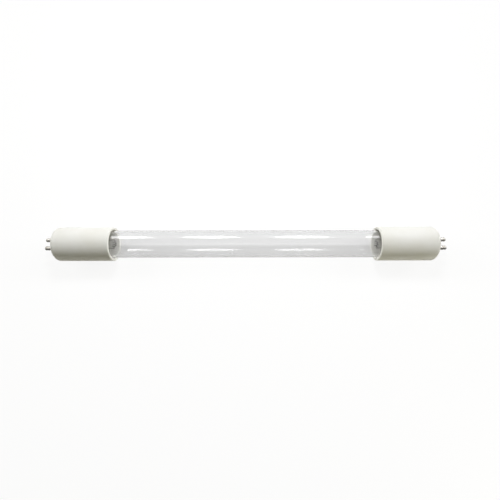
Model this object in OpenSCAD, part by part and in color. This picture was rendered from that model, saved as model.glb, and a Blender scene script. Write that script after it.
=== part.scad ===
// Double-ended germicidal discharge lamp: a clear quartz tube, pressed flat and sealed at both
// ends, with a filament inside each end and a two-pin ceramic cap cemented over each seal.
// The lamp's axis is X, its middle is the origin, and the four pins lie in the XY plane.

/* [Lamp] */
// Length from the flat end of one cap to the flat end of the other
face_to_face = 212; // [160:1:900]

/* [Quartz tube] */
// Outer diameter of the round part of the tube
tube_d = 15.3; // [14.8:0.1:17]
// Thickness of the tube's wall
tube_wall = 1; // [0.8:0.1:1.4]
// Length over which the tube closes from round to flat
shoulder_length = 6; // [5:0.5:7]
// Length of the flat pressed seal
press_length = 9; // [8:0.5:11]
// Thickness of the flat pressed seal
press_thickness = 3.2; // [2.6:0.1:4]
// Distance by which the inside of the tube closes ahead of the flat seal
hollow_lead = 1.4; // [1:0.1:2]

/* [Ceramic caps] */
// Length of a cap, from its mouth to its flat end
cap_length = 32; // [27:0.5:40]
// Thickness of a cap's round wall
cap_wall = 1.5; // [1.2:0.1:2.5]
// Gap all round between the tube and a cap's bore
bore_gap = 0.35; // [0.2:0.05:0.6]
// Thickness of a cap's end wall, which holds the pins
cap_floor = 4.5; // [3:0.5:6]
// Radius of the round outer edge at a cap's flat end
cap_edge = 2; // [0.5:0.1:3]
// Radius of the round edges of a cap's mouth
rim_edge = 0.4; // [0.2:0.1:0.6]

/* [Cement] */
// Depth of the cement from a cap's end wall
cement_depth = 11; // [8:0.5:11.4]
// Gap between the end of the flat seal and a cap's end wall, filled with cement
seal_gap = 2.5; // [1.5:0.5:4]

/* [Pins] */
// Distance between the axes of a cap's two pins
pin_spacing = 4.75; // [4.4:0.05:6]
// Diameter of a pin
pin_d = 2.37; // [2.2:0.01:2.6]
// Length of a pin beyond the cap's flat end
pin_length = 7.1; // [6:0.1:7.6]
// Diameter of the hollow inside a pin
pin_bore = 1.3; // [1:0.05:1.5]
// Radius of the round edge of a pin's tip
pin_tip_edge = 0.7; // [0.3:0.1:0.9]
// Length of the closed end of a pin, crimped on its lead
pin_closed_end = 2; // [1.6:0.1:3]
// Distance from a pin's tip to the middle of its crimp groove
crimp_from_tip = 1.35; // [1.2:0.05:1.5]
// Depth of the crimp groove
crimp_depth = 0.22; // [0.1:0.02:0.3]
// Diameter of a pin's shank, which passes through the cap's end wall
shank_d = 2; // [1.8:0.05:2.15]
// Diameter of the flange that holds a pin from inside the cap
flange_d = 3.4; // [3:0.1:4]
// Thickness of the flange
flange_thickness = 0.6; // [0.4:0.1:1]
// Gap all round between a shank and its hole in the cap
shank_gap = 0.04; // [0.02:0.01:0.1]

/* [Leads and foils] */
// Diameter of the lead wires
lead_d = 0.5; // [0.4:0.05:0.7]
// Depth of the flat ground on a lead where it is welded to its foil
weld_flat = 0.1; // [0.05:0.01:0.15]
// Length of a lead that lies on its foil
weld_lap = 1.5; // [1:0.1:2]
// Width of a foil
foil_width = 2.2; // [1.5:0.1:3]
// Thickness of a foil
foil_thickness = 0.05; // [0.03:0.01:0.1]
// Glass between a foil and each end of the flat seal
foil_margin = 1.25; // [1:0.05:1.5]
// Gap all round between a lead and the pin's closed end
lead_gap = 0.03; // [0.02:0.01:0.05]

/* [Filaments] */
// Distance by which a filament sits inside its cap's mouth
filament_inset = 0; // [-10:0.5:4]
// Outer diameter of the filament's coil
coil_d = 2.4; // [1.6:0.1:3]
// Thickness of the coiled and coated filament wire
coil_wire = 0.55; // [0.4:0.05:0.7]
// Turns of the coil between the two leads
coil_turns = 3; // [2:1:4]
// Outer diameter of the eye at a lead's tip, which grips the filament
eye_d = 1.1; // [1:0.1:1.4]
// Width of the eye
eye_width = 0.8; // [0.5:0.1:1]
// Gap all round between the filament's tail and the eye
eye_gap = 0.03; // [0.02:0.01:0.05]

/* [Mercury] */
// Diameter of the mercury bead
mercury_d = 1; // [0.6:0.1:1.6]
// Distance from the bead to the closing shoulder, in the cool end behind the filament
mercury_to_shoulder = 4; // [1:0.5:8]
// Gap under the bead
mercury_gap = 0.02; // [0.01:0.01:0.05]

/* [Hidden] */
$fn = 96;

// Radii that follow from the sizes above
tube_r = tube_d / 2;
hollow_r = tube_r - tube_wall;
bore_r = tube_r + bore_gap;
cap_r = bore_r + cap_wall;
pin_r = pin_d / 2;
shank_r = shank_d / 2;
lead_r = lead_d / 2;
coil_wire_r = coil_wire / 2;
coil_r = coil_d / 2 - coil_wire_r;
eye_bore_r = coil_wire_r + eye_gap;

// Stations along the lamp, measured from its middle to the right
face_x = face_to_face / 2;
floor_x = face_x - cap_floor;
mouth_x = face_x - cap_length;
press_end_x = floor_x - seal_gap;
press_x = press_end_x - press_length;
shoulder_x = press_x - shoulder_length;
hollow_end_x = press_x - hollow_lead;
foil_x = press_x + foil_margin;
foil_end_x = press_end_x - foil_margin;
filament_x = mouth_x + filament_inset;
pin_tip_x = face_x + pin_length;
mercury_x = shoulder_x - mercury_to_shoulder;

// The foils lie just under the leads' axes, on the flats of the leads
foil_top_z = weld_flat - lead_r;

// The inside of the tube ends in a thin slit where the press closed it
slit_half = 0.2;
shoulder_steps = 14;

// Filament sweep: points in each turn and sides of the wire
turn_points = 22;
wire_sides = 9;
tail_past_eye = 0.15;
eye_clear = 0.25;
coil_span = pin_spacing - eye_width - 2 * eye_clear;

overlap = 0.5;

// Both ends are the same assembly: the left one is the right one turned half round
module at_end(side) {
    rotate([0, 0, side == "left" ? 180 : 0]) children();
}

// Offset of a lead or pin from the axis, in the frame of its own end
function row_y(side, place) =
    (place == "front" ? -1 : 1) * (side == "left" ? -1 : 1) * pin_spacing / 2;

// A solid of revolution about X, from a profile with radius across and distance up
module turned() {
    rotate([0, 90, 0]) rotate_extrude() children();
}

module rod(r, from_x, to_x) {
    translate([from_x, 0, 0]) rotate([0, 90, 0]) cylinder(r = r, h = to_x - from_x);
}

// Half height of a closing shoulder at a share t of its length
function closing(t, open_half, shut_half) =
    open_half + (shut_half - open_half) * (1 - cos(180 * t)) / 2;

// Outline of one closing end, seen from the side: open up to from_x, shut at to_x
function closing_points(from_x, to_x, open_half, shut_half) = [
    for (i = [0:shoulder_steps])
        let (t = i / shoulder_steps)
            [from_x + (to_x - from_x) * t, closing(t, open_half, shut_half)]
];

function reversed(points) = [for (i = [len(points) - 1:-1:0]) points[i]];
function mirrored(points, x, y) = [for (p = points) [x * p[0], y * p[1]]];

// A bar wider than the tube whose two ends close in height, for cutting the round tube flat
module closing_bar(from_x, to_x, end_x, open_half, shut_half) {
    quarter = concat(
        closing_points(from_x, to_x, open_half, shut_half),
        end_x > to_x ? [[end_x, shut_half]] : []
    );
    rotate([90, 0, 0]) linear_extrude(height = 2 * tube_d, center = true) polygon(concat(
        quarter,
        mirrored(reversed(quarter), 1, -1),
        mirrored(quarter, -1, -1),
        mirrored(reversed(quarter), -1, 1)
    ));
}

// The glass without its hollow: round in the middle, flat at both seals
module glass_outside() {
    intersection() {
        rod(tube_r, -press_end_x, press_end_x);
        closing_bar(shoulder_x, press_x, press_end_x, tube_r + overlap, press_thickness / 2);
    }
}

module glass_hollow() {
    intersection() {
        rod(hollow_r, -hollow_end_x, hollow_end_x);
        closing_bar(shoulder_x, hollow_end_x, hollow_end_x, hollow_r + overlap, slit_half);
    }
}

module quartz_tube() {
    color([0.9, 0.94, 0.97, 0.35]) difference() {
        glass_outside();
        glass_hollow();
        for (side = ["left", "right"]) for (place = ["front", "back"]) {
            inner_lead(side, place);
            foil(side, place);
            outer_lead(side, place);
        }
    }
}

module mercury_bead() {
    color([0.75, 0.76, 0.78])
        translate([mercury_x, 0, mercury_gap + mercury_d / 2 - hollow_r])
            sphere(d = mercury_d);
}

// Outline of a turned body from the axis out, with one round outer corner at the top
module round_ended(r, from_y, to_y, edge) {
    translate([0, from_y]) square([r, to_y - edge - from_y]);
    translate([0, from_y]) square([r - edge, to_y - from_y]);
    intersection() {
        translate([r - edge, to_y - edge]) circle(r = edge);
        translate([r - edge, to_y - edge]) square(edge);
    }
}

// Round lip of the mouth, between the bore and the outer wall
module rim_profile() {
    translate([bore_r + rim_edge, mouth_x + rim_edge]) circle(r = rim_edge);
    translate([cap_r - rim_edge, mouth_x + rim_edge]) circle(r = rim_edge);
    translate([bore_r + rim_edge, mouth_x]) square([cap_wall - 2 * rim_edge, 2 * rim_edge]);
}

module cap(side) {
    color([0.93, 0.93, 0.9]) at_end(side) difference() {
        turned() {
            rim_profile();
            difference() {
                round_ended(cap_r, mouth_x + rim_edge, face_x, cap_edge);
                translate([-overlap, mouth_x]) square([bore_r + overlap, floor_x - mouth_x]);
            }
        }
        for (y = [-1, 1] * pin_spacing / 2)
            translate([0, y, 0]) rod(shank_r + shank_gap, floor_x - overlap, face_x + overlap);
    }
}

// White cement that fills the bottom of a cap round the seal, the leads and the flanges
module cement(side) {
    color([0.86, 0.85, 0.8]) difference() {
        at_end(side) rod(bore_r, floor_x - cement_depth, floor_x);
        glass_outside();
        for (place = ["front", "back"]) {
            outer_lead(side, place);
            at_end(side) translate([0, row_y(side, place), 0]) flange();
        }
    }
}

module flange() {
    rod(flange_d / 2, floor_x - flange_thickness, floor_x);
}

// A hollow riveted pin: its shoulder sits on the cap, its flange inside, its tip on the lead
module pin(side, place) {
    color([0.72, 0.71, 0.68]) at_end(side) translate([0, row_y(side, place), 0]) difference() {
        union() {
            flange();
            rod(shank_r, floor_x - flange_thickness, face_x + pin_length / 2);
            turned() round_ended(pin_r, face_x, pin_tip_x, pin_tip_edge);
        }
        rod(pin_bore / 2, floor_x - cap_floor, pin_tip_x - pin_closed_end);
        rod(lead_r + lead_gap, face_x, pin_tip_x + overlap);
        turned() translate([pin_r + crimp_depth, pin_tip_x - crimp_from_tip])
            circle(r = 2 * crimp_depth);
    }
}

// Lead from the filament's eye down into the glass, flat where it is welded to the foil
module inner_lead(side, place) {
    end_x = foil_x + weld_lap;
    color([0.6, 0.6, 0.6]) at_end(side) translate([0, row_y(side, place), 0]) difference() {
        union() {
            rod(lead_r, filament_x + eye_bore_r, end_x);
            translate([filament_x, 0, 0]) rotate([90, 0, 0])
                cylinder(d = eye_d, h = eye_width, center = true);
        }
        translate([filament_x, 0, 0]) rotate([90, 0, 0])
            cylinder(r = eye_bore_r, h = 2 * eye_width, center = true);
        weld_cut(foil_x, end_x + overlap);
    }
}

// Lead from the foil through the cement to the tip of its pin
module outer_lead(side, place) {
    start_x = foil_end_x - weld_lap;
    color([0.62, 0.6, 0.58]) at_end(side) translate([0, row_y(side, place), 0]) difference() {
        rod(lead_r, start_x, pin_tip_x);
        weld_cut(start_x - overlap, foil_end_x);
    }
}

// Takes the underside off a lead where the foil lies against it
module weld_cut(from_x, to_x) {
    translate([from_x, -lead_d, foil_top_z - lead_d])
        cube([to_x - from_x, 2 * lead_d, lead_d]);
}

// Thin molybdenum strip that carries the current through the gas-tight glass
module foil(side, place) {
    color([0.5, 0.5, 0.52]) at_end(side)
        translate([foil_x, row_y(side, place) - foil_width / 2, foil_top_z - foil_thickness])
            cube([foil_end_x - foil_x, foil_width, foil_thickness]);
}

// Radius of the filament's path at a share t of the coil: it opens and closes in half a turn
function path_radius(t) = coil_r * min(1, 2 * coil_turns * t, 2 * coil_turns * (1 - t));

function coil_point(t) = [
    path_radius(t) * cos(360 * coil_turns * t),
    coil_span * (t - 0.5),
    path_radius(t) * sin(360 * coil_turns * t)
];

// The filament's path across the lamp, with a straight tail through each lead's eye
tail_y = (pin_spacing + eye_width) / 2 + tail_past_eye;
coil_steps = coil_turns * turn_points;
filament_path = concat(
    [[0, -tail_y, 0]],
    [for (i = [0:coil_steps]) coil_point(i / coil_steps)],
    [[0, tail_y, 0]]
);

function unit(v) = v / norm(v);

// Direction of a path at one of its points, and a direction across it that turns with the coil
function along(path, i) = unit(path[min(i + 1, len(path) - 1)] - path[max(i - 1, 0)]);
function spoke(i) =
    let (a = 360 * coil_turns * min(max(i - 1, 0), coil_steps) / coil_steps) [cos(a), 0, sin(a)];

function ring(path, i) =
    let (t = along(path, i), s = spoke(i), n = unit(s - (s * t) * t), b = cross(t, n))
        [for (k = [0:wire_sides - 1])
            path[i] + coil_wire_r * (cos(360 * k / wire_sides) * n + sin(360 * k / wire_sides) * b)];

// Tungsten coil, coated with emitter, stretched between the eyes of the two inner leads
module filament(side) {
    rings = len(filament_path);
    points = [for (i = [0:rings - 1]) each ring(filament_path, i)];
    walls = [
        for (i = [0:rings - 2]) for (k = [0:wire_sides - 1])
            let (a = i * wire_sides, n = (k + 1) % wire_sides)
                [a + k, a + n, a + n + wire_sides, a + k + wire_sides]
    ];
    first = [for (k = [wire_sides - 1:-1:0]) k];
    last = [for (k = [0:wire_sides - 1]) (rings - 1) * wire_sides + k];
    color([0.45, 0.45, 0.42]) at_end(side) translate([filament_x, 0, 0])
        polyhedron(points = points, faces = concat([first], walls, [last]), convexity = 8);
}

quartz_tube();
mercury_bead();
cap("left");  // left_cap
cement("left");  // left_cement
filament("left");  // left_filament
inner_lead("left", "front");  // left_inner_lead_front
inner_lead("left", "back");  // left_inner_lead_back
foil("left", "front");  // left_foil_front
foil("left", "back");  // left_foil_back
outer_lead("left", "front");  // left_outer_lead_front
outer_lead("left", "back");  // left_outer_lead_back
pin("left", "front");  // left_pin_front
pin("left", "back");  // left_pin_back
cap("right");  // right_cap
cement("right");  // right_cement
filament("right");  // right_filament
inner_lead("right", "front");  // right_inner_lead_front
inner_lead("right", "back");  // right_inner_lead_back
foil("right", "front");  // right_foil_front
foil("right", "back");  // right_foil_back
outer_lead("right", "front");  // right_outer_lead_front
outer_lead("right", "back");  // right_outer_lead_back
pin("right", "front");  // right_pin_front
pin("right", "back");  // right_pin_back
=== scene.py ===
"""Looks of a double-ended germicidal lamp: a clear quartz tube with a filament at each end,
sealed into two-pin ceramic caps. Lengths are in metres and the lamp's axis is X."""

import math

import bmesh
import bpy
from bpy.props import FloatProperty, FloatVectorProperty, IntProperty, PointerProperty
from mathutils import Matrix, Vector


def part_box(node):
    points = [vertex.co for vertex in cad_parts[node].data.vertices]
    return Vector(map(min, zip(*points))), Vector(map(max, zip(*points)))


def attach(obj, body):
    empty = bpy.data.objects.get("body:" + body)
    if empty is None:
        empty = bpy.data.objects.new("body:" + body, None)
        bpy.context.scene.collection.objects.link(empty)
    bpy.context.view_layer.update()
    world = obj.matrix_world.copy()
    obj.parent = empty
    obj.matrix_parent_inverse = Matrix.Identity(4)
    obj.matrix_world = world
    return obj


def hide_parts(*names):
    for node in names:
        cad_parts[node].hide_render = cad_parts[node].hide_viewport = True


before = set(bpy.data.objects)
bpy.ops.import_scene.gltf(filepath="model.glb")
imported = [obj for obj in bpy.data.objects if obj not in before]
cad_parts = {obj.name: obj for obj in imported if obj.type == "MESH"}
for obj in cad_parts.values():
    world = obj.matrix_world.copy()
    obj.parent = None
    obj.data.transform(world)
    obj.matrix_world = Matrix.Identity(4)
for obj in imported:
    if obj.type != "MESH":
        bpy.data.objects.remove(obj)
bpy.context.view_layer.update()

bl_info = {
    "name": "Germicidal Lamp",
    "version": (1, 0, 0),
    "blender": (4, 5, 0),
    "location": "View3D > Sidebar > Lamp",
    "description": "Builds the glass, the filaments and the finishes of a two-cap quartz lamp",
    "category": "Object",
}

BODY = "root"
SIDES = ("left", "right")
PLACES = ("front", "back")
MM = 0.001
PLAIN_WHITE = (1.0, 1.0, 1.0, 1.0)
BLACK = (0.0, 0.0, 0.0, 1.0)

# Sections of the quartz: ahead of a shoulder in millimetres, over a shoulder, round a press's end
STRAIGHT_MARKS = (40.0, 10.0, 2.0, 0.4)
CLOSING_STEPS = 24
ROUND_STEPS = 6

# Points per turn of a filament's path and of the wire that is wound round it
PATH_STEPS = 40
WINDING_STEPS = 10
WIRE_SIDES = 5
COATING_SIDES = 10

BEAD_SEGMENTS = 24
BEAD_RINGS = 16


def cad_centre(node):
    low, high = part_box(node)
    return (low + high) / 2


def cad_size(node):
    low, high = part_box(node)
    return high - low


def length(name, description, default, low=0.0, high=1.0):
    """A size in metres that shows in the sidebar in scene units."""
    return FloatProperty(
        name=name, description=description, default=default, min=low, max=high,
        precision=5, subtype="DISTANCE", unit="LENGTH",
    )


def share(name, description, default):
    """A number from nought to one."""
    return FloatProperty(
        name=name, description=description, default=default, min=0.0, max=1.0,
        precision=4, subtype="FACTOR",
    )


def number(name, description, default, low=0.0):
    """A plain number, such as a power in watts or an index of refraction."""
    return FloatProperty(name=name, description=description, default=default, min=low)


def count(name, description, default, low=1):
    return IntProperty(name=name, description=description, default=default, min=low)


def colour(name, description, default):
    """A linear colour, each part from nought to one."""
    return FloatVectorProperty(
        name=name, description=description, default=default, min=0.0, max=1.0,
        size=3, subtype="COLOR",
    )


def angle(name, description, degrees):
    return FloatProperty(
        name=name, description=description, default=math.radians(degrees),
        subtype="ANGLE", unit="ROTATION",
    )


class LampGlass(bpy.types.PropertyGroup):
    """Sizes of the quartz tube and of its pressed ends."""

    radius: length(
        "Radius", "Outer radius of the round tube", cad_size("quartz_tube").z / 2
    )
    half_length: length(
        "Half length", "From the lamp's middle to the end of a press",
        cad_size("quartz_tube").x / 2,
    )
    wall: length("Wall", "Thickness of the tube's wall", 1.0 * MM)
    shoulder: length("Shoulder", "Length over which the tube closes", 6.0 * MM)
    press_length: length("Press length", "Length of the flat seal", 9.0 * MM)
    press_thickness: length("Press thickness", "Thickness of the flat seal", 3.2 * MM)
    hollow_lead: length("Hollow lead", "How far the hollow closes ahead of the press", 1.4 * MM)
    slit: length("Slit", "Half height of the hollow where it ends", 0.2 * MM)
    end_round: length("End rounding", "Fire-polished edge at the end of a press", 0.5 * MM)
    squareness: number(
        "Squareness", "Exponent of the press's outline: 2 is an ellipse", 5.0, low=2.0
    )
    sides: count("Sides", "Points round the tube", 128, low=32)
    tint: colour("Tint", "Colour of the clear quartz", (0.96, 0.96, 0.963))
    line_shade: share("Line shade", "How light the drawing lines are beside the tint", 0.985)
    softness: share("Softness", "Roughness of the fire-polished skin", 0.07)
    clearness: share("Clearness", "Share of the skin that is free of fine dust", 0.97)
    shadow: colour("Shadow tint", "What one skin lets on into a shadow", (0.975, 0.975, 0.975))
    bounce: colour("Bounce tint", "What one skin lets on to a wall", (0.985, 0.985, 0.985))
    ior: number("Index", "Index of refraction of fused quartz", 1.458, low=1.0)


class LampFilament(bpy.types.PropertyGroup):
    """Sizes of the coiled coils between the inner leads."""

    coil_radius: length("Coil radius", "Outer radius of the large coil", 1.2 * MM)
    turns: count("Turns", "Turns of the large coil", 3)
    span: length("Span", "Length of the large coil between the eyes", 3.45 * MM)
    tail: length("Tail", "Straight end that passes through an eye", 1.2 * MM)
    strand_radius: length("Strand radius", "Outer radius of the small coil", 0.275 * MM)
    wire_radius: length("Wire radius", "Radius of the tungsten wire", 0.065 * MM)
    strand_turns: count("Strand turns", "Turns of the small coil along its path", 96, low=8)
    coating_radius: length("Coating", "Radius of the emitter that fills the small coil", 0.2 * MM)
    tungsten: colour("Tungsten", "Colour of the bare wire", (0.20, 0.195, 0.185))
    emitter: colour("Emitter", "Colour of the emitter coating", (0.26, 0.25, 0.22))


class LampMetal(bpy.types.PropertyGroup):
    """Sizes and colours of the pins, the leads and the foils."""

    bead_radius: length("Bead radius", "Radius of the weld bead on a pin's tip", 0.42 * MM)
    bead_height: length("Bead height", "Height of the weld bead over the tip", 0.22 * MM)
    nickel: colour("Nickel", "Plated pins", (0.66, 0.645, 0.615))
    tarnish: colour("Tarnish", "Dulled plating in clouds", (0.36, 0.34, 0.30))
    solder: colour("Solder", "Weld bead on a pin", (0.58, 0.575, 0.56))
    wire: colour("Wire", "Lead wires", (0.52, 0.505, 0.48))
    foil: colour("Foil", "Molybdenum foils", (0.46, 0.46, 0.475))
    mercury: colour("Mercury", "Mercury bead", (0.74, 0.75, 0.77))


class LampCeramic(bpy.types.PropertyGroup):
    """Colours of the fired caps and of the cement inside them."""

    glaze: colour("Ceramic", "Fired white body of a cap", (0.86, 0.855, 0.83))
    shade: colour("Ceramic shade", "Slightly warmer cloud in the body", (0.80, 0.79, 0.74))
    speck: colour("Specks", "Small dark grains in the body", (0.52, 0.48, 0.40))
    cement: colour("Cement", "Dry lamp cement", (0.70, 0.68, 0.62))
    cement_shade: colour("Cement shade", "Darker grains in the cement", (0.52, 0.50, 0.45))


class LampStage(bpy.types.PropertyGroup):
    """Camera, lights, floor and background."""

    elevation: angle("Elevation", "How far the camera looks down on the lamp", 79.0)
    distance: length("Distance", "From the camera to the lamp's axis", 185.8 * MM)
    lens: number("Lens", "Focal length on a 36 mm sensor", 23.61, low=1.0)
    offset_right: length(
        "Offset right", "How far the camera stands right of the lamp's middle", 2.8 * MM, low=-1.0
    )
    offset_down: length(
        "Offset down", "How far the camera stands below the lamp's middle", 3.44 * MM, low=-1.0
    )
    yaw: angle("Yaw", "Turn of the camera about its upright", 0.37)
    roll: angle("Roll", "Turn of the camera about its view", 0.1)

    box_count: count("Boxes", "Softboxes in the row", 4)
    box_spacing: length("Box spacing", "From one softbox to the next", 214.0 * MM)
    box_row_offset: length("Row offset", "Middle of the row along the lamp", 15.0 * MM, low=-1.0)
    box_distance: length("Box distance", "From the lamp to the row of softboxes", 600.0 * MM)
    box_angle: angle("Box angle", "From the camera's side up to the row of softboxes", 60.5)
    box_length: length("Box length", "Softbox size along the lamp", 130.0 * MM)
    box_width: length("Box width", "Softbox size across the lamp", 245.0 * MM)
    box_power: number("Box power", "Watts of one softbox", 0.65)

    key_distance: length("Key distance", "From the lamp to each large key light", 1000.0 * MM)
    key_length: length("Key length", "Key light's size along the lamp", 1000.0 * MM, high=5.0)
    key_width: length("Key width", "Key light's size across the lamp", 200.0 * MM)
    key_angle: angle("Key angle", "From the camera's side up to the key lights", 48.0)
    key_spread: angle("Key spread", "From the lamp's middle out to each key light", 58.0)
    key_power: number("Key power", "Watts of one key light", 4.92)
    near_distance: length("Near distance", "From the lamp to the near key light", 250.0 * MM)
    near_length: length("Near length", "Near key's size along the lamp", 75.0 * MM)
    near_width: length("Near width", "Near key's size across the lamp", 60.0 * MM)
    near_power: number("Near power", "Watts of the near key light", 0.34)
    key_tone: colour("Key tone", "Colour of the key lights", (0.97, 0.98, 1.0))
    fill_place: FloatVectorProperty(
        name="Fill place", description="Where the small warm fill stands, before the right cap",
        default=(0.22, -0.18, 0.05), size=3, subtype="TRANSLATION", unit="LENGTH",
    )
    fill_size: length("Fill size", "Width of the fill", 160.0 * MM)
    fill_tone: colour("Fill tone", "Colour of the fill", (1.0, 0.97, 0.8))
    fill_power: number("Fill power", "Watts of the fill", 0.12)

    ambient: colour("Ambient", "Soft light from the room", (1.0, 0.96, 0.66))
    ambient_low: share("Ambient low", "Room light from the shaded side", 0.10)
    ambient_high: share("Ambient high", "Room light from the lit side", 0.12)
    floor_bounce: colour("Floor bounce", "Floor as it lights the lamp", (0.86, 0.85, 0.80))
    floor_shade: colour("Floor shade", "How much the shadow shows on it", (0.13, 0.13, 0.13))
    floor_size: length("Floor size", "Width of the floor", 6.0, high=100.0)
    floor_glow: share("Floor glow", "White that the camera sees on the floor by the lamp", 0.89)
    floor_near: length("Floor near", "How far off the floor starts to turn white", 200.0 * MM)
    floor_fade: length("Floor fade", "How far off it has turned plain white", 1.0, high=10.0)
    glass_shade: colour("Glass shade", "Floor colour seen through glass", (0.30, 0.30, 0.305))
    # Seen through glass, the floor has a painted shadow of the tube: darker in front of the axis
    # and lighter behind it, changing at the edge below
    glass_painted_shadow: share("Glass front", "White of the near floor seen through glass", 0.49)
    glass_painted_lit: share("Glass back", "White of the far floor seen through glass", 0.59)
    glass_shadow_edge: length(
        "Glass edge", "Where the far floor starts behind the axis", 0.8 * MM, low=-1.0
    )
    glass_shadow_fade: length("Glass fade", "Width of the change from near to far", 3.0 * MM)

    mirror_edge: angle("Mirror edge", "Where the mirrored room turns from bright to dim", -10.0)
    mirror_blur: share("Mirror blur", "Half width of that change in the room", 0.2)
    mirror_bright: number("Mirror bright", "Lit side of the room in reflections", 1.5)
    mirror_dim: share("Mirror dim", "Shaded side of the room in reflections", 0.05)
    mirror_floor_blur: length("Mirror floor blur", "Half width of it on the floor", 20.0 * MM)
    mirror_floor: share("Mirror floor", "Lit side of the floor in reflections", 0.85)
    mirror_floor_dim: share("Mirror floor dim", "Shaded side of the floor in reflections", 0.5)
    overhead_low: share("Overhead low", "How high the room seen through glass stays white", 0.2)
    overhead_high: share("Overhead high", "From how high it looks as it does in mirrors", 0.4)


SETTINGS = {
    "lamp_glass": LampGlass,
    "lamp_filament": LampFilament,
    "lamp_metal": LampMetal,
    "lamp_ceramic": LampCeramic,
    "lamp_stage": LampStage,
}


class NodeSheet:
    """Adds and links nodes in one shader tree, group or geometry tree."""

    def __init__(self, tree):
        self.tree = tree
        self.columns = 0

    def place_node(self, kind, **settings):
        """Adds a node in the next column and sets its attributes."""
        node = self.tree.nodes.new(kind)
        self.columns += 1
        node.location = (200 * self.columns, 0)
        for name, value in settings.items():
            setattr(node, name, value)
        return node

    def fill(self, node, inputs):
        """Gives each named input a link from a socket, or a plain value."""
        for socket, source in inputs.items():
            target = node.inputs[socket]
            if isinstance(source, bpy.types.NodeSocket):
                self.tree.links.new(source, target)
            else:
                target.default_value = source

    def add(self, kind, inputs=None, **settings):
        """Adds a node with its settings and inputs, and returns its outputs."""
        node = self.place_node(kind, **settings)
        self.fill(node, inputs or {})
        return node.outputs

    def math(self, operation, *values):
        return self.add("ShaderNodeMath", dict(enumerate(values)), operation=operation)["Value"]

    def vector_math(self, operation, *values, result="Vector"):
        inputs = dict(enumerate(values))
        return self.add("ShaderNodeVectorMath", inputs, operation=operation)[result]

    def scaled(self, vector, factor):
        inputs = {0: vector, "Scale": factor}
        return self.add("ShaderNodeVectorMath", inputs, operation="SCALE")["Vector"]

    def ramp(self, value, start, end, low=0.0, high=1.0, smooth=False):
        """Turns a value between start and end into one between low and high."""
        return self.add(
            "ShaderNodeMapRange",
            {"Value": value, "From Min": start, "From Max": end, "To Min": low, "To Max": high},
            interpolation_type="SMOOTHSTEP" if smooth else "LINEAR",
        )["Result"]

    def mix(self, factor, first, second):
        """Mixes two colours."""
        inputs = {"Factor": factor, "A": first, "B": second}
        return self.add("ShaderNodeMix", inputs, data_type="RGBA")["Result"]


def built_once(name):
    """Lets a function build its node group on the first call, and finds it on later ones."""
    def wrap(build):
        def find_or_build():
            return bpy.data.node_groups.get(name) or build(name)
        return find_or_build
    return wrap


def new_group(name, kind, inputs, outputs):
    """An empty node group with its sockets. Each socket is (name, type, default or None)."""
    tree = bpy.data.node_groups.new(name, kind)
    for in_out, sockets in (("INPUT", inputs), ("OUTPUT", outputs)):
        for socket_name, socket_type, default in sockets:
            socket = tree.interface.new_socket(
                name=socket_name, in_out=in_out, socket_type=socket_type
            )
            if default is not None:
                socket.default_value = default
    sheet = NodeSheet(tree)
    return sheet, sheet.add("NodeGroupInput"), sheet.place_node("NodeGroupOutput")


@built_once("fine_grain")
def grain_group(name):
    """Fine even grain: a mask from nought to one, and a height for a bump."""
    sheet, given, result = new_group(
        name, "ShaderNodeTree",
        [
            ("Vector", "NodeSocketVector", None),
            ("Scale", "NodeSocketFloat", 1000.0),
            ("Low", "NodeSocketFloat", 0.35),
            ("High", "NodeSocketFloat", 0.65),
        ],
        [("Mask", "NodeSocketFloat", None), ("Height", "NodeSocketFloat", None)],
    )
    noise = sheet.add(
        "ShaderNodeTexNoise",
        {"Vector": given["Vector"], "Scale": given["Scale"], "Detail": 4.0, "Roughness": 0.6},
    )["Fac"]
    sheet.fill(result, {"Mask": sheet.ramp(noise, given["Low"], given["High"]), "Height": noise})
    return sheet.tree


@built_once("colour_clouds")
def cloud_group(name):
    """Two colours in soft clouds, and a roughness that follows the same clouds."""
    sheet, given, result = new_group(
        name, "ShaderNodeTree",
        [
            ("Vector", "NodeSocketVector", None),
            ("Scale", "NodeSocketFloat", 60.0),
            ("Colour", "NodeSocketColor", (0.8, 0.8, 0.8, 1)),
            ("Shade", "NodeSocketColor", (0.6, 0.6, 0.6, 1)),
            ("Rough low", "NodeSocketFloat", 0.3),
            ("Rough high", "NodeSocketFloat", 0.5),
        ],
        [("Colour", "NodeSocketColor", None), ("Roughness", "NodeSocketFloat", None)],
    )
    noise = sheet.add(
        "ShaderNodeTexNoise",
        {"Vector": given["Vector"], "Scale": given["Scale"], "Detail": 5.0, "Distortion": 0.3},
    )["Fac"]
    cloud = sheet.ramp(noise, 0.3, 0.7, smooth=True)
    sheet.fill(result, {
        "Colour": sheet.mix(cloud, given["Colour"], given["Shade"]),
        "Roughness": sheet.ramp(cloud, 0.0, 1.0, given["Rough low"], given["Rough high"]),
    })
    return sheet.tree


@built_once("drawn_lines")
def drawn_lines_group(name):
    """Lines that run along the lamp, as drawing leaves them: a mask and a height."""
    sheet, given, result = new_group(
        name, "ShaderNodeTree",
        [
            ("Vector", "NodeSocketVector", None),
            ("Across", "NodeSocketFloat", 2000.0),
            ("Along", "NodeSocketFloat", 20.0),
        ],
        [("Mask", "NodeSocketFloat", None), ("Height", "NodeSocketFloat", None)],
    )
    scale = sheet.add(
        "ShaderNodeCombineXYZ",
        {"X": given["Along"], "Y": given["Across"], "Z": given["Across"]},
    )["Vector"]
    stretched = sheet.vector_math("MULTIPLY", given["Vector"], scale)
    noise = sheet.add(
        "ShaderNodeTexNoise",
        {"Vector": stretched, "Scale": 1.0, "Detail": 3.0, "Roughness": 0.55},
    )["Fac"]
    sheet.fill(result, {"Mask": sheet.ramp(noise, 0.4, 0.7), "Height": noise})
    return sheet.tree


def rgba(value):
    return (value[0], value[1], value[2], 1.0)


def shaded(value, left):
    """A darker shade, in which only a share of the colour is left."""
    return rgba([part * left for part in value])


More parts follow.
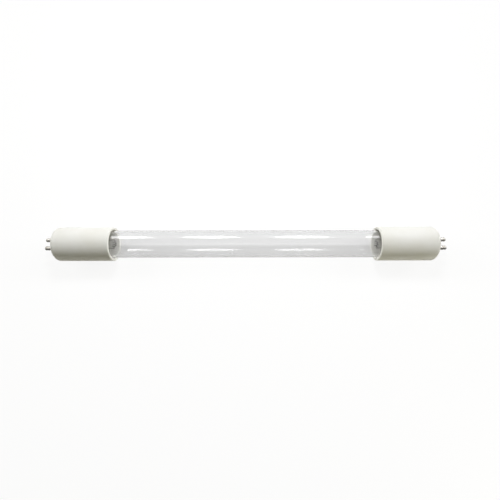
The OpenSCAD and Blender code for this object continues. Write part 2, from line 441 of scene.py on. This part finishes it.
class Finish:
    """One material with a Principled shader, Object coordinates, and the shared effects."""

    def __init__(self, name, **plain):
        self.material = bpy.data.materials.new(name)
        self.material.use_nodes = True
        self.sheet = NodeSheet(self.material.node_tree)
        self.shader = self.material.node_tree.nodes["Principled BSDF"]
        self.output = self.material.node_tree.nodes["Material Output"]
        for socket, value in plain.items():
            self.shader.inputs[socket.replace("_", " ")].default_value = value
        self.place = self.sheet.add("ShaderNodeTexCoord")["Object"]

    def effect(self, tree, inputs):
        """Places a shared effect on the piece's Object coordinates."""
        return self.sheet.add(
            "ShaderNodeGroup", {"Vector": self.place, **inputs}, node_tree=tree
        )

    def feed(self, socket, source):
        self.sheet.fill(self.shader, {socket: source})

    def surface(self, shader):
        self.sheet.fill(self.output, {"Surface": shader})

    def clouds(self, body, shade, scale, rough_low, rough_high):
        """Soft clouds in the roughness, and the same clouds as a colour to feed or to mix."""
        clouds = self.effect(
            cloud_group(),
            {
                "Scale": scale, "Colour": body, "Shade": shade,
                "Rough low": rough_low, "Rough high": rough_high,
            },
        )
        self.feed("Roughness", clouds["Roughness"])
        return clouds["Colour"]

    def bump(self, height, strength, depth, under=None):
        """A normal that follows a height, over another normal where one is given."""
        inputs = {"Height": height, "Strength": strength, "Distance": depth}
        if under is not None:
            inputs["Normal"] = under
        return self.sheet.add("ShaderNodeBump", inputs)["Normal"]


def ceramic_finish(caps):
    """Fired white ceramic: soft clouds, sparse grains, fine pores and a dull sheen."""
    finish = Finish("fired_ceramic", Metallic=0.0, IOR=1.5)
    body = finish.clouds(
        rgba(caps.glaze), rgba(caps.shade), scale=45.0, rough_low=0.5, rough_high=0.64
    )
    specks = finish.effect(grain_group(), {"Scale": 900.0, "Low": 0.73, "High": 0.77})
    finish.feed("Base Color", finish.sheet.mix(specks["Mask"], body, rgba(caps.speck)))
    pores = finish.effect(grain_group(), {"Scale": 2600.0, "Low": 0.3, "High": 0.7})
    waves = finish.effect(grain_group(), {"Scale": 150.0, "Low": 0.3, "High": 0.7})
    broad = finish.bump(waves["Height"], strength=0.25, depth=0.06 * MM)
    fine = finish.bump(pores["Height"], strength=0.3, depth=0.012 * MM, under=broad)
    finish.feed("Normal", fine)
    return finish.material


def cement_finish(caps):
    """Dry cement: coarse grains in two shades."""
    finish = Finish("lamp_cement", Metallic=0.0)
    finish.feed("Base Color", finish.clouds(
        rgba(caps.cement), rgba(caps.cement_shade), scale=500.0, rough_low=0.85, rough_high=0.97
    ))
    grains = finish.effect(grain_group(), {"Scale": 1500.0})
    finish.feed("Normal", finish.bump(grains["Height"], strength=0.8, depth=0.08 * MM))
    return finish.material


def quartz_finish(glass):
    """Clear fused quartz with faint drawing lines. Lights shine through it to what is inside."""
    finish = Finish(
        "clear_quartz", Metallic=0.0, Roughness=glass.softness, IOR=glass.ior,
        Transmission_Weight=glass.clearness,
    )
    sheet = finish.sheet
    lines = finish.effect(drawn_lines_group(), {"Across": 900.0, "Along": 9.0})
    darker = shaded(glass.tint, left=glass.line_shade)
    finish.feed("Base Color", sheet.mix(lines["Mask"], rgba(glass.tint), darker))
    finish.feed("Normal", finish.bump(lines["Height"], strength=0.012, depth=0.01 * MM))
    rays = sheet.add("ShaderNodeLightPath")
    straight = sheet.math("MAXIMUM", rays["Is Shadow Ray"], rays["Is Diffuse Ray"])
    passed = sheet.mix(rays["Is Shadow Ray"], rgba(glass.bounce), rgba(glass.shadow))
    clear = sheet.add("ShaderNodeBsdfTransparent", {"Color": passed})["BSDF"]
    solid = finish.shader.outputs["BSDF"]
    finish.surface(sheet.add("ShaderNodeMixShader", {0: straight, 1: solid, 2: clear})["Shader"])
    return finish.material


def nickel_finish(metal):
    """Plated pins: fine rings round a pin's axis, and dull tarnish in clouds."""
    finish = Finish("nickel_plate", Metallic=1.0)
    finish.feed("Base Color", finish.clouds(
        rgba(metal.nickel), rgba(metal.tarnish), scale=700.0, rough_low=0.24, rough_high=0.42
    ))
    along = finish.sheet.add("ShaderNodeSeparateXYZ", {"Vector": finish.place})["X"]
    rings = finish.sheet.add(
        "ShaderNodeTexNoise", {"W": along, "Scale": 16000.0, "Detail": 2.0}, noise_dimensions="1D"
    )["Fac"]
    finish.feed("Normal", finish.bump(rings, strength=0.35, depth=0.01 * MM))
    return finish.material


def drawn_metal_finish(name, body, rough_low, rough_high):
    """Drawn or rolled metal with lines along the lamp."""
    finish = Finish(name, Metallic=1.0)
    dark = shaded(body, left=0.72)
    clouds = finish.clouds(
        rgba(body), dark, scale=1800.0, rough_low=rough_low, rough_high=rough_high
    )
    lines = finish.effect(drawn_lines_group(), {"Across": 14000.0, "Along": 300.0})
    finish.feed("Base Color", finish.sheet.mix(lines["Mask"], clouds, dark))
    finish.feed("Normal", finish.bump(lines["Height"], strength=0.4, depth=0.008 * MM))
    return finish.material


def powder_finish(body):
    """Dull sintered powder on the filament."""
    finish = Finish("emitter_powder", Metallic=0.0)
    finish.feed("Base Color", finish.clouds(
        rgba(body), shaded(body, left=0.6), scale=3500.0, rough_low=0.88, rough_high=1.0
    ))
    grains = finish.effect(grain_group(), {"Scale": 9000.0})
    finish.feed("Normal", finish.bump(grains["Height"], strength=0.7, depth=0.03 * MM))
    return finish.material


def liquid_metal_finish(body):
    """Bright mercury with a barely dulled skin."""
    finish = Finish("mercury_mirror", Metallic=1.0)
    finish.feed("Base Color", finish.clouds(
        rgba(body), shaded(body, left=0.93), scale=900.0, rough_low=0.03, rough_high=0.09
    ))
    return finish.material


def dress(nodes, material):
    """Gives CAD nodes their material."""
    for name in nodes:
        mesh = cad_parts[name].data
        mesh.materials.clear()
        mesh.materials.append(material)


def show(name, data):
    """Puts a new object with this data into the scene."""
    shown = bpy.data.objects.new(name, data)
    bpy.context.scene.collection.objects.link(shown)
    return shown


def add_piece(name, mesh, replaced=()):
    """Shows a finished mesh as a piece on the lamp's one body."""
    piece = show(name, mesh)
    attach(piece, BODY)
    if replaced:
        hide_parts(*replaced)


def smooth_closing(t):
    """Share of the way from round to flat at a share t of the shoulder."""
    return (1 - math.cos(math.pi * t)) / 2


def ring_points(x, half_width, half_height, exponent, sides):
    """One section across the lamp: an ellipse at exponent 2, squarer above it."""
    points = []
    for i in range(sides):
        turn = math.tau * i / sides
        c, s = math.cos(turn), math.sin(turn)
        y = half_width * math.copysign(abs(c) ** (2 / exponent), c)
        z = half_height * math.copysign(abs(s) ** (2 / exponent), s)
        points.append((x, y, z))
    return points


def closing_rings(start, end, radius, shut_half, exponent):
    """Sections from round to flat as (x, half width, half height, exponent)."""
    rings = []
    for i in range(CLOSING_STEPS + 1):
        t = i / CLOSING_STEPS
        share_shut = smooth_closing(t)
        rings.append((
            start + (end - start) * t,
            radius,
            radius + (shut_half - radius) * share_shut,
            2 + (exponent - 2) * share_shut,
        ))
    return rings


def straight_rings(end, radius):
    """Round sections that keep the tube's skin straight up to where it starts to close."""
    return [(end - mark * MM, radius, radius, 2.0) for mark in STRAIGHT_MARKS]


def outer_stations(glass):
    """Sections of the right half's outer skin, from the tube to the end of the press."""
    press_start = glass.half_length - glass.press_length
    half_press = glass.press_thickness / 2
    closing_start = press_start - glass.shoulder
    rings = straight_rings(closing_start, glass.radius) + closing_rings(
        closing_start, press_start, glass.radius, half_press, glass.squareness
    )
    flat_end = glass.half_length - glass.end_round
    for i in range(ROUND_STEPS + 1):
        turn = math.pi / 2 * i / ROUND_STEPS
        inset = glass.end_round * (1 - math.cos(turn))
        rings.append((
            flat_end + glass.end_round * math.sin(turn),
            glass.radius - inset, half_press - inset, glass.squareness,
        ))
    return rings


def inner_stations(glass):
    """Sections of the right half's hollow, which closes to a slit ahead of the press."""
    press_start = glass.half_length - glass.press_length
    inside = glass.radius - glass.wall
    closing_start = press_start - glass.shoulder
    slit_start = press_start - glass.hollow_lead
    return straight_rings(closing_start, inside) + closing_rings(
        closing_start, slit_start, inside, glass.slit, glass.squareness
    )


def both_ends(right_stations):
    """Mirrors the right half's sections, so that they run from the left end to the right."""
    left = [(-x, width, height, power) for x, width, height, power in reversed(right_stations)]
    return left + right_stations


def loft(skin, stations, sides):
    """Skins a row of sections, closes both ends with a fan, and returns the faces."""
    rings = [
        [skin.verts.new(point) for point in ring_points(*station, sides)]
        for station in stations
    ]
    faces = []
    for first, second in zip(rings, rings[1:]):
        for i in range(sides):
            j = (i + 1) % sides
            faces.append(skin.faces.new((first[i], first[j], second[j], second[i])))
    for ring in (rings[0], rings[-1]):
        middle = skin.verts.new((ring[0].co.x, 0, 0))
        for i in range(sides):
            faces.append(skin.faces.new((ring[i], ring[(i + 1) % sides], middle)))
    return faces


def tube_mesh(glass):
    """The quartz body: an outer skin, and the skin of its hollow facing inwards."""
    skin = bmesh.new()
    outside = loft(skin, both_ends(outer_stations(glass)), glass.sides)
    bmesh.ops.recalc_face_normals(skin, faces=outside)
    hollow = loft(skin, both_ends(inner_stations(glass)), glass.sides)
    bmesh.ops.recalc_face_normals(skin, faces=hollow)
    bmesh.ops.reverse_faces(skin, faces=hollow)
    mesh = bpy.data.meshes.new("quartz_tube_skin")
    skin.to_mesh(mesh)
    skin.free()
    mesh.shade_smooth()
    return mesh


def coil_path(coil, centre):
    """A curve through one filament: straight in the eyes, and a widening coil between them."""
    radius = coil.coil_radius - coil.strand_radius
    steps = coil.turns * PATH_STEPS
    points = [(0.0, -coil.span / 2 - coil.tail, 0.0)]
    for i in range(steps + 1):
        t = i / steps
        # The coil widens over its first half turn and closes over its last one
        reach = radius * min(1, 2 * coil.turns * t, 2 * coil.turns * (1 - t))
        turn = math.tau * coil.turns * t
        points.append((reach * math.cos(turn), coil.span * (t - 0.5), reach * math.sin(turn)))
    points.append((0.0, coil.span / 2 + coil.tail, 0.0))
    curve = bpy.data.curves.new("coil_path", "CURVE")
    curve.dimensions = "3D"
    spline = curve.splines.new("POLY")
    spline.points.add(len(points) - 1)
    for point, place in zip(spline.points, points):
        point.co = (*(Vector(place) + centre), 1.0)
    return curve


@built_once("winding")
def winding_tree(name):
    """Winds a wire round a path and fills the winding with a coating."""
    sheet, given, result = new_group(
        name, "GeometryNodeTree",
        [
            ("Path", "NodeSocketGeometry", None),
            ("Turns", "NodeSocketFloat", 90.0),
            ("Winding radius", "NodeSocketFloat", 0.2 * MM),
            ("Wire radius", "NodeSocketFloat", 0.06 * MM),
            ("Coating radius", "NodeSocketFloat", 0.2 * MM),
            ("Wire", "NodeSocketMaterial", None),
            ("Coating", "NodeSocketMaterial", None),
        ],
        [("Mesh", "NodeSocketGeometry", None)],
    )
    steps = sheet.math("MULTIPLY", given["Turns"], float(WINDING_STEPS))
    path = sheet.add("GeometryNodeResampleCurve", {"Curve": given["Path"], "Count": steps})
    along = sheet.add("GeometryNodeInputTangent")["Tangent"]
    across = sheet.add("GeometryNodeInputNormal")["Normal"]
    third = sheet.vector_math("CROSS_PRODUCT", along, across)
    factor = sheet.add("GeometryNodeSplineParameter")["Factor"]
    turn = sheet.math("MULTIPLY", sheet.math("MULTIPLY", factor, given["Turns"]), math.tau)
    parts = []
    for operation, direction in (("COSINE", across), ("SINE", third)):
        reach = sheet.math("MULTIPLY", sheet.math(operation, turn), given["Winding radius"])
        parts.append(sheet.scaled(direction, reach))
    wound = sheet.add(
        "GeometryNodeSetPosition",
        {"Geometry": path["Curve"], "Offset": sheet.vector_math("ADD", *parts)},
    )
    joined = sheet.place_node("GeometryNodeJoinGeometry")
    for curve, radius, sides, material in (
        (wound["Geometry"], given["Wire radius"], WIRE_SIDES, given["Wire"]),
        (given["Path"], given["Coating radius"], COATING_SIDES, given["Coating"]),
    ):
        profile = sheet.add(
            "GeometryNodeCurvePrimitiveCircle", {"Resolution": sides, "Radius": radius}
        )
        tube = sheet.add(
            "GeometryNodeCurveToMesh",
            {"Curve": curve, "Profile Curve": profile["Curve"], "Fill Caps": True},
        )
        painted = sheet.add(
            "GeometryNodeSetMaterial", {"Geometry": tube["Mesh"], "Material": material}
        )
        sheet.fill(joined, {"Geometry": painted["Geometry"]})
    smooth = sheet.add("GeometryNodeSetShadeSmooth", {"Geometry": joined.outputs["Geometry"]})
    real = sheet.add("GeometryNodeRealizeInstances", {"Geometry": smooth["Geometry"]})
    sheet.fill(result, {"Mesh": real["Geometry"]})
    return sheet.tree


@built_once("weld_beads")
def bead_tree(name):
    """Sets one weld bead on each point, and realizes them as one mesh."""
    sheet, given, result = new_group(
        name, "GeometryNodeTree",
        [
            ("Points", "NodeSocketGeometry", None),
            ("Radius", "NodeSocketFloat", 0.4 * MM),
            ("Height", "NodeSocketFloat", 0.2 * MM),
            ("Material", "NodeSocketMaterial", None),
        ],
        [("Mesh", "NodeSocketGeometry", None)],
    )
    ball = sheet.add(
        "GeometryNodeMeshUVSphere",
        {"Segments": BEAD_SEGMENTS, "Rings": BEAD_RINGS, "Radius": given["Radius"]},
    )
    flat = sheet.math("DIVIDE", given["Height"], given["Radius"])
    squeeze = sheet.add("ShaderNodeCombineXYZ", {"X": flat, "Y": 1.0, "Z": 1.0})
    beads = sheet.add(
        "GeometryNodeInstanceOnPoints",
        {"Points": given["Points"], "Instance": ball["Mesh"], "Scale": squeeze["Vector"]},
    )
    real = sheet.add("GeometryNodeRealizeInstances", {"Geometry": beads["Instances"]})
    smooth = sheet.add("GeometryNodeSetShadeSmooth", {"Geometry": real["Geometry"]})
    painted = sheet.add(
        "GeometryNodeSetMaterial",
        {"Geometry": smooth["Geometry"], "Material": given["Material"]},
    )
    sheet.fill(result, {"Mesh": painted["Geometry"]})
    return sheet.tree


def grown_mesh(data, tree, values, name):
    """Runs a geometry tree on a curve or mesh and returns the plain mesh that it makes."""
    seed = show(name + "_seed", data)
    modifier = seed.modifiers.new("grow", "NODES")
    modifier.node_group = tree
    for item in tree.interface.items_tree:
        if item.item_type == "SOCKET" and item.in_out == "INPUT" and item.name in values:
            modifier[item.identifier] = values[item.name]
    bpy.context.view_layer.update()
    evaluated = seed.evaluated_get(bpy.context.evaluated_depsgraph_get())
    mesh = bpy.data.meshes.new_from_object(evaluated)
    mesh.name = name + "_mesh"
    seed.modifiers.remove(modifier)
    bpy.data.objects.remove(seed)
    return mesh


class LAMP_OT_quartz_tube(bpy.types.Operator):
    """Makes the clear tube with its two pressed seals"""

    bl_idname = "lamp.quartz_tube"
    bl_label = "Quartz tube"

    def execute(self, context):
        glass = context.scene.lamp_glass
        mesh = tube_mesh(glass)
        mesh.materials.append(quartz_finish(glass))
        add_piece("quartz_glass_tube", mesh, ["quartz_tube"])
        return {"FINISHED"}


class LAMP_OT_filaments(bpy.types.Operator):
    """Winds the two coated tungsten filaments"""

    bl_idname = "lamp.filaments"
    bl_label = "Filaments"

    def execute(self, context):
        coil = context.scene.lamp_filament
        wire = drawn_metal_finish("tungsten_wire", coil.tungsten, rough_low=0.4, rough_high=0.6)
        values = {
            "Turns": float(coil.strand_turns),
            "Winding radius": coil.strand_radius - coil.wire_radius,
            "Wire radius": coil.wire_radius,
            "Coating radius": coil.coating_radius,
            "Wire": wire,
            "Coating": powder_finish(coil.emitter),
        }
        for side in SIDES:
            name, node = side + "_coiled_filament", side + "_filament"
            path = coil_path(coil, cad_centre(node))
            mesh = grown_mesh(path, winding_tree(), values, name)
            add_piece(name, mesh, [node])
        return {"FINISHED"}


class LAMP_OT_ceramic_caps(bpy.types.Operator):
    """Finishes the ceramic caps and the cement inside them"""

    bl_idname = "lamp.ceramic_caps"
    bl_label = "Ceramic caps"

    def execute(self, context):
        caps = context.scene.lamp_ceramic
        dress([side + "_cap" for side in SIDES], ceramic_finish(caps))
        dress([side + "_cement" for side in SIDES], cement_finish(caps))
        return {"FINISHED"}


class LAMP_OT_contact_pins(bpy.types.Operator):
    """Finishes the pins and sets a weld bead on each tip"""

    bl_idname = "lamp.contact_pins"
    bl_label = "Contact pins"

    def execute(self, context):
        metal = context.scene.lamp_metal
        pins = [f"{side}_pin_{place}" for side in SIDES for place in PLACES]
        dress(pins, nickel_finish(metal))
        tips = []
        for name in pins:
            low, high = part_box(name)
            centre = cad_centre(name)
            tips.append((high.x if centre.x > 0 else low.x, centre.y, centre.z))
        points = bpy.data.meshes.new("pin_tips")
        points.from_pydata(tips, [], [])
        solder = drawn_metal_finish("weld_metal", metal.solder, rough_low=0.25, rough_high=0.4)
        values = {"Radius": metal.bead_radius, "Height": metal.bead_height, "Material": solder}
        mesh = grown_mesh(points, bead_tree(), values, "pin_weld_beads")
        add_piece("pin_weld_beads", mesh)
        return {"FINISHED"}


class LAMP_OT_inner_metal(bpy.types.Operator):
    """Finishes the leads, the foils and the mercury bead"""

    bl_idname = "lamp.inner_metal"
    bl_label = "Leads, foils and mercury"

    def execute(self, context):
        metal = context.scene.lamp_metal
        ends = [(side, place) for side in SIDES for place in PLACES]
        leads = [
            f"{side}_{kind}_lead_{place}" for side, place in ends for kind in ("inner", "outer")
        ]
        wire = drawn_metal_finish("lead_wire", metal.wire, rough_low=0.3, rough_high=0.45)
        dress(leads, wire)
        foils = [f"{side}_foil_{place}" for side, place in ends]
        foil = drawn_metal_finish("molybdenum_foil", metal.foil, rough_low=0.25, rough_high=0.4)
        dress(foils, foil)
        dress(["mercury_bead"], liquid_metal_finish(metal.mercury))
        return {"FINISHED"}


def camera_axes(stage):
    """Right, up and forward directions of the camera."""
    forward = Vector((0, math.cos(stage.elevation), -math.sin(stage.elevation)))
    right = Vector((1, 0, 0))
    up = right.cross(forward)
    for axis, turn in ((up, stage.yaw), (forward, stage.roll)):
        spin = Matrix.Rotation(turn, 3, axis)
        right, up, forward = spin @ right, spin @ up, spin @ forward
    return right, up, forward


def placed(place, x_axis, y_axis, z_axis):
    """The matrix of an object that stands at a place with its three axes turned."""
    axes = Matrix((x_axis, y_axis, z_axis)).transposed().to_4x4()
    return Matrix.Translation(place) @ axes


def place_camera(stage):
    """A camera at the photograph's angle, a little off the lamp's middle."""
    right, up, forward = camera_axes(stage)
    data = bpy.data.cameras.new("camera")
    data.lens = stage.lens
    data.sensor_width = 36.0
    data.clip_start = 5 * MM
    camera = show("camera", data)
    place = stage.offset_right * right - stage.offset_down * up - stage.distance * forward
    camera.matrix_world = placed(place, right, up, -forward)
    bpy.context.scene.camera = camera


def raised_direction(stage, raised):
    """Square to the lamp's axis, and raised by an angle from the camera's side of the lamp."""
    _, up, forward = camera_axes(stage)
    away = up * math.sin(raised) - forward * math.cos(raised)
    return Vector((0, away.y, away.z)).normalized()


def add_area_light(name, place, away, size, watts):
    """An elliptical light that no camera sees. It shines against the direction away."""
    data = bpy.data.lights.new(name, "AREA")
    data.shape = "ELLIPSE"
    data.size, data.size_y = size
    data.energy = watts
    light = show(name, data)
    light.visible_camera = False
    across = away.cross(Vector((1, 0, 0))).normalized()
    light.matrix_world = placed(place, across.cross(away), across, away)
    return light


def place_softboxes(stage):
    """A row of softboxes that only show in gloss and glass."""
    away = raised_direction(stage, stage.box_angle)
    size = (stage.box_length, stage.box_width)
    for i in range(stage.box_count):
        step = i - (stage.box_count - 1) / 2
        place = away * stage.box_distance
        place.x = stage.box_row_offset + step * stage.box_spacing
        box = add_area_light(f"softbox_{i + 1}", place, away, size, stage.box_power)
        box.visible_diffuse = False


def place_keys(stage):
    """Three key lights and a fill, which light the lamp and show in no mirror."""
    raised = raised_direction(stage, stage.key_angle)
    near_size = (stage.near_length, stage.near_width)
    near_place = raised * stage.near_distance
    keys = [add_area_light("near_key", near_place, raised, near_size, stage.near_power)]
    for side, sign in zip(SIDES, (-1, 1)):
        out = Vector((sign * math.sin(stage.key_spread), 0, 0))
        away = raised * math.cos(stage.key_spread) + out
        place = away * stage.key_distance
        size = (stage.key_length, stage.key_width)
        keys.append(add_area_light(side + "_key", place, away, size, stage.key_power))
    for key in keys:
        key.data.color = stage.key_tone
    place = Vector(stage.fill_place)
    fill_size = (stage.fill_size, stage.fill_size)
    fill = add_area_light("fill", place, place.normalized(), fill_size, stage.fill_power)
    fill.data.color = stage.fill_tone
    for light in (*keys, fill):
        light.visible_glossy = False
        light.visible_transmission = False


def mirrored_room(sheet, stage, direction, blur, dim, bright):
    """Brightness of the room in reflections: bright on the lit side, dim on the shaded one."""
    lit_side = tuple(raised_direction(stage, stage.mirror_edge + math.pi / 2))
    across = sheet.vector_math("DOT_PRODUCT", direction, lit_side, result="Value")
    return sheet.ramp(across, -blur, blur, dim, bright, smooth=True)


def light_world(stage):
    """Dim room light, stronger from the lit side, and plain white where the eye looks."""
    # Cosines of the angle off the key lights between which the room light grows
    shaded_end, lit_end = -0.6, 0.9
    world = bpy.data.worlds.new("studio")
    bpy.context.scene.world = world
    world.use_nodes = True
    sheet = NodeSheet(world.node_tree)
    direction = sheet.add("ShaderNodeTexCoord")["Generated"]
    key_side = tuple(raised_direction(stage, stage.key_angle))
    towards_keys = sheet.vector_math("DOT_PRODUCT", direction, key_side, result="Value")
    level = sheet.ramp(
        towards_keys, shaded_end, lit_end, stage.ambient_low, stage.ambient_high
    )
    room = sheet.scaled(tuple(stage.ambient), level)
    height = sheet.add("ShaderNodeSeparateXYZ", {"Vector": direction})["Z"]
    overhead = sheet.ramp(height, stage.overhead_low, stage.overhead_high)
    mirror = mirrored_room(
        sheet, stage, direction, stage.mirror_blur, stage.mirror_dim, stage.mirror_bright
    )
    rays = sheet.add("ShaderNodeLightPath")
    for ray, sight in (
        ("Is Glossy Ray", mirror),
        ("Is Transmission Ray", sheet.mix(overhead, PLAIN_WHITE, mirror)),
        ("Is Camera Ray", PLAIN_WHITE),
    ):
        room = sheet.mix(rays[ray], room, sight)
    sheet.fill(world.node_tree.nodes["Background"], {"Color": room, "Strength": 1.0})


def floor_finish(stage):
    """A pale floor: near white with a soft shadow to the eye, and pale to the light it returns."""
    finish = Finish("studio_floor", Metallic=0.0, Roughness=0.9, Specular_IOR_Level=0.0)
    sheet = finish.sheet
    mirror = mirrored_room(
        sheet, stage, finish.place, stage.mirror_floor_blur,
        stage.mirror_floor_dim, stage.mirror_floor,
    )
    far = sheet.vector_math("LENGTH", finish.place, result="Value")
    seen = sheet.ramp(far, stage.floor_near, stage.floor_fade, stage.floor_glow, 1.0)
    # Painted shadow of the tube on the floor seen through glass: a darker near side and a lighter
    # far side, set by position and not by light
    behind = sheet.add("ShaderNodeSeparateXYZ", {"Vector": finish.place})["Y"]
    half_shadow_fade = stage.glass_shadow_fade / 2
    through = sheet.ramp(
        behind, stage.glass_shadow_edge - half_shadow_fade, stage.glass_shadow_edge + half_shadow_fade,
        stage.glass_painted_shadow, stage.glass_painted_lit, smooth=True,
    )
    rays = sheet.add("ShaderNodeLightPath")
    lit, glow = rgba(stage.floor_bounce), BLACK
    for ray, body, white in (
        ("Is Glossy Ray", BLACK, mirror),
        ("Is Transmission Ray", rgba(stage.glass_shade), through),
        ("Is Camera Ray", rgba(stage.floor_shade), seen),
    ):
        lit = sheet.mix(rays[ray], lit, body)
        glow = sheet.mix(rays[ray], glow, white)
    finish.feed("Base Color", lit)
    white = sheet.add("ShaderNodeEmission", {"Color": glow, "Strength": 1.0})["Emission"]
    matt = finish.shader.outputs["BSDF"]
    finish.surface(sheet.add("ShaderNodeAddShader", {0: matt, 1: white})["Shader"])
    return finish.material


def place_floor(stage):
    """A floor just under the caps."""
    half = stage.floor_size / 2
    level = min(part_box(side + "_cap")[0].z for side in SIDES)
    mesh = bpy.data.meshes.new("floor")
    corners = [(x * half, y * half, level) for x, y in ((-1, -1), (1, -1), (1, 1), (-1, 1))]
    mesh.from_pydata(corners, [], [(0, 1, 2, 3)])
    mesh.materials.append(floor_finish(stage))
    show("floor", mesh)


class LAMP_OT_stage(bpy.types.Operator):
    """Places the camera, the lights, the floor and the background"""

    bl_idname = "lamp.stage"
    bl_label = "Stage"

    def execute(self, context):
        stage = context.scene.lamp_stage
        context.scene.view_settings.view_transform = "Standard"
        place_camera(stage)
        place_softboxes(stage)
        place_keys(stage)
        light_world(stage)
        place_floor(stage)
        return {"FINISHED"}


OPERATORS = (
    LAMP_OT_stage,
    LAMP_OT_quartz_tube,
    LAMP_OT_filaments,
    LAMP_OT_ceramic_caps,
    LAMP_OT_contact_pins,
    LAMP_OT_inner_metal,
)


class LAMP_PT_sidebar(bpy.types.Panel):
    """Lists the lamp's sizes, colours and steps"""

    bl_idname = "LAMP_PT_sidebar"
    bl_label = "Germicidal Lamp"
    bl_space_type = "VIEW_3D"
    bl_region_type = "UI"
    bl_category = "Lamp"

    def draw(self, context):
        for operator in OPERATORS:
            self.layout.operator(operator.bl_idname)
        for name, group in SETTINGS.items():
            box = self.layout.box()
            box.label(text=group.__doc__)
            for field in group.__annotations__:
                box.prop(getattr(context.scene, name), field)


CLASSES = (*SETTINGS.values(), *OPERATORS, LAMP_PT_sidebar)


def register():
    for item in CLASSES:
        bpy.utils.register_class(item)
    for name, group in SETTINGS.items():
        setattr(bpy.types.Scene, name, PointerProperty(type=group))


def unregister():
    for name in SETTINGS:
        delattr(bpy.types.Scene, name)
    for item in reversed(CLASSES):
        bpy.utils.unregister_class(item)


def plain(box):
    """A box's corners as lists of numbers that JSON takes."""
    return [[float(part) for part in corner] for corner in box]


def main():
    register()
    bpy.ops.lamp.stage()
    bpy.ops.lamp.quartz_tube()
    bpy.ops.lamp.filaments()
    bpy.ops.lamp.ceramic_caps()
    bpy.ops.lamp.contact_pins()
    bpy.ops.lamp.inner_metal()


if __name__ == "__main__":
    main()
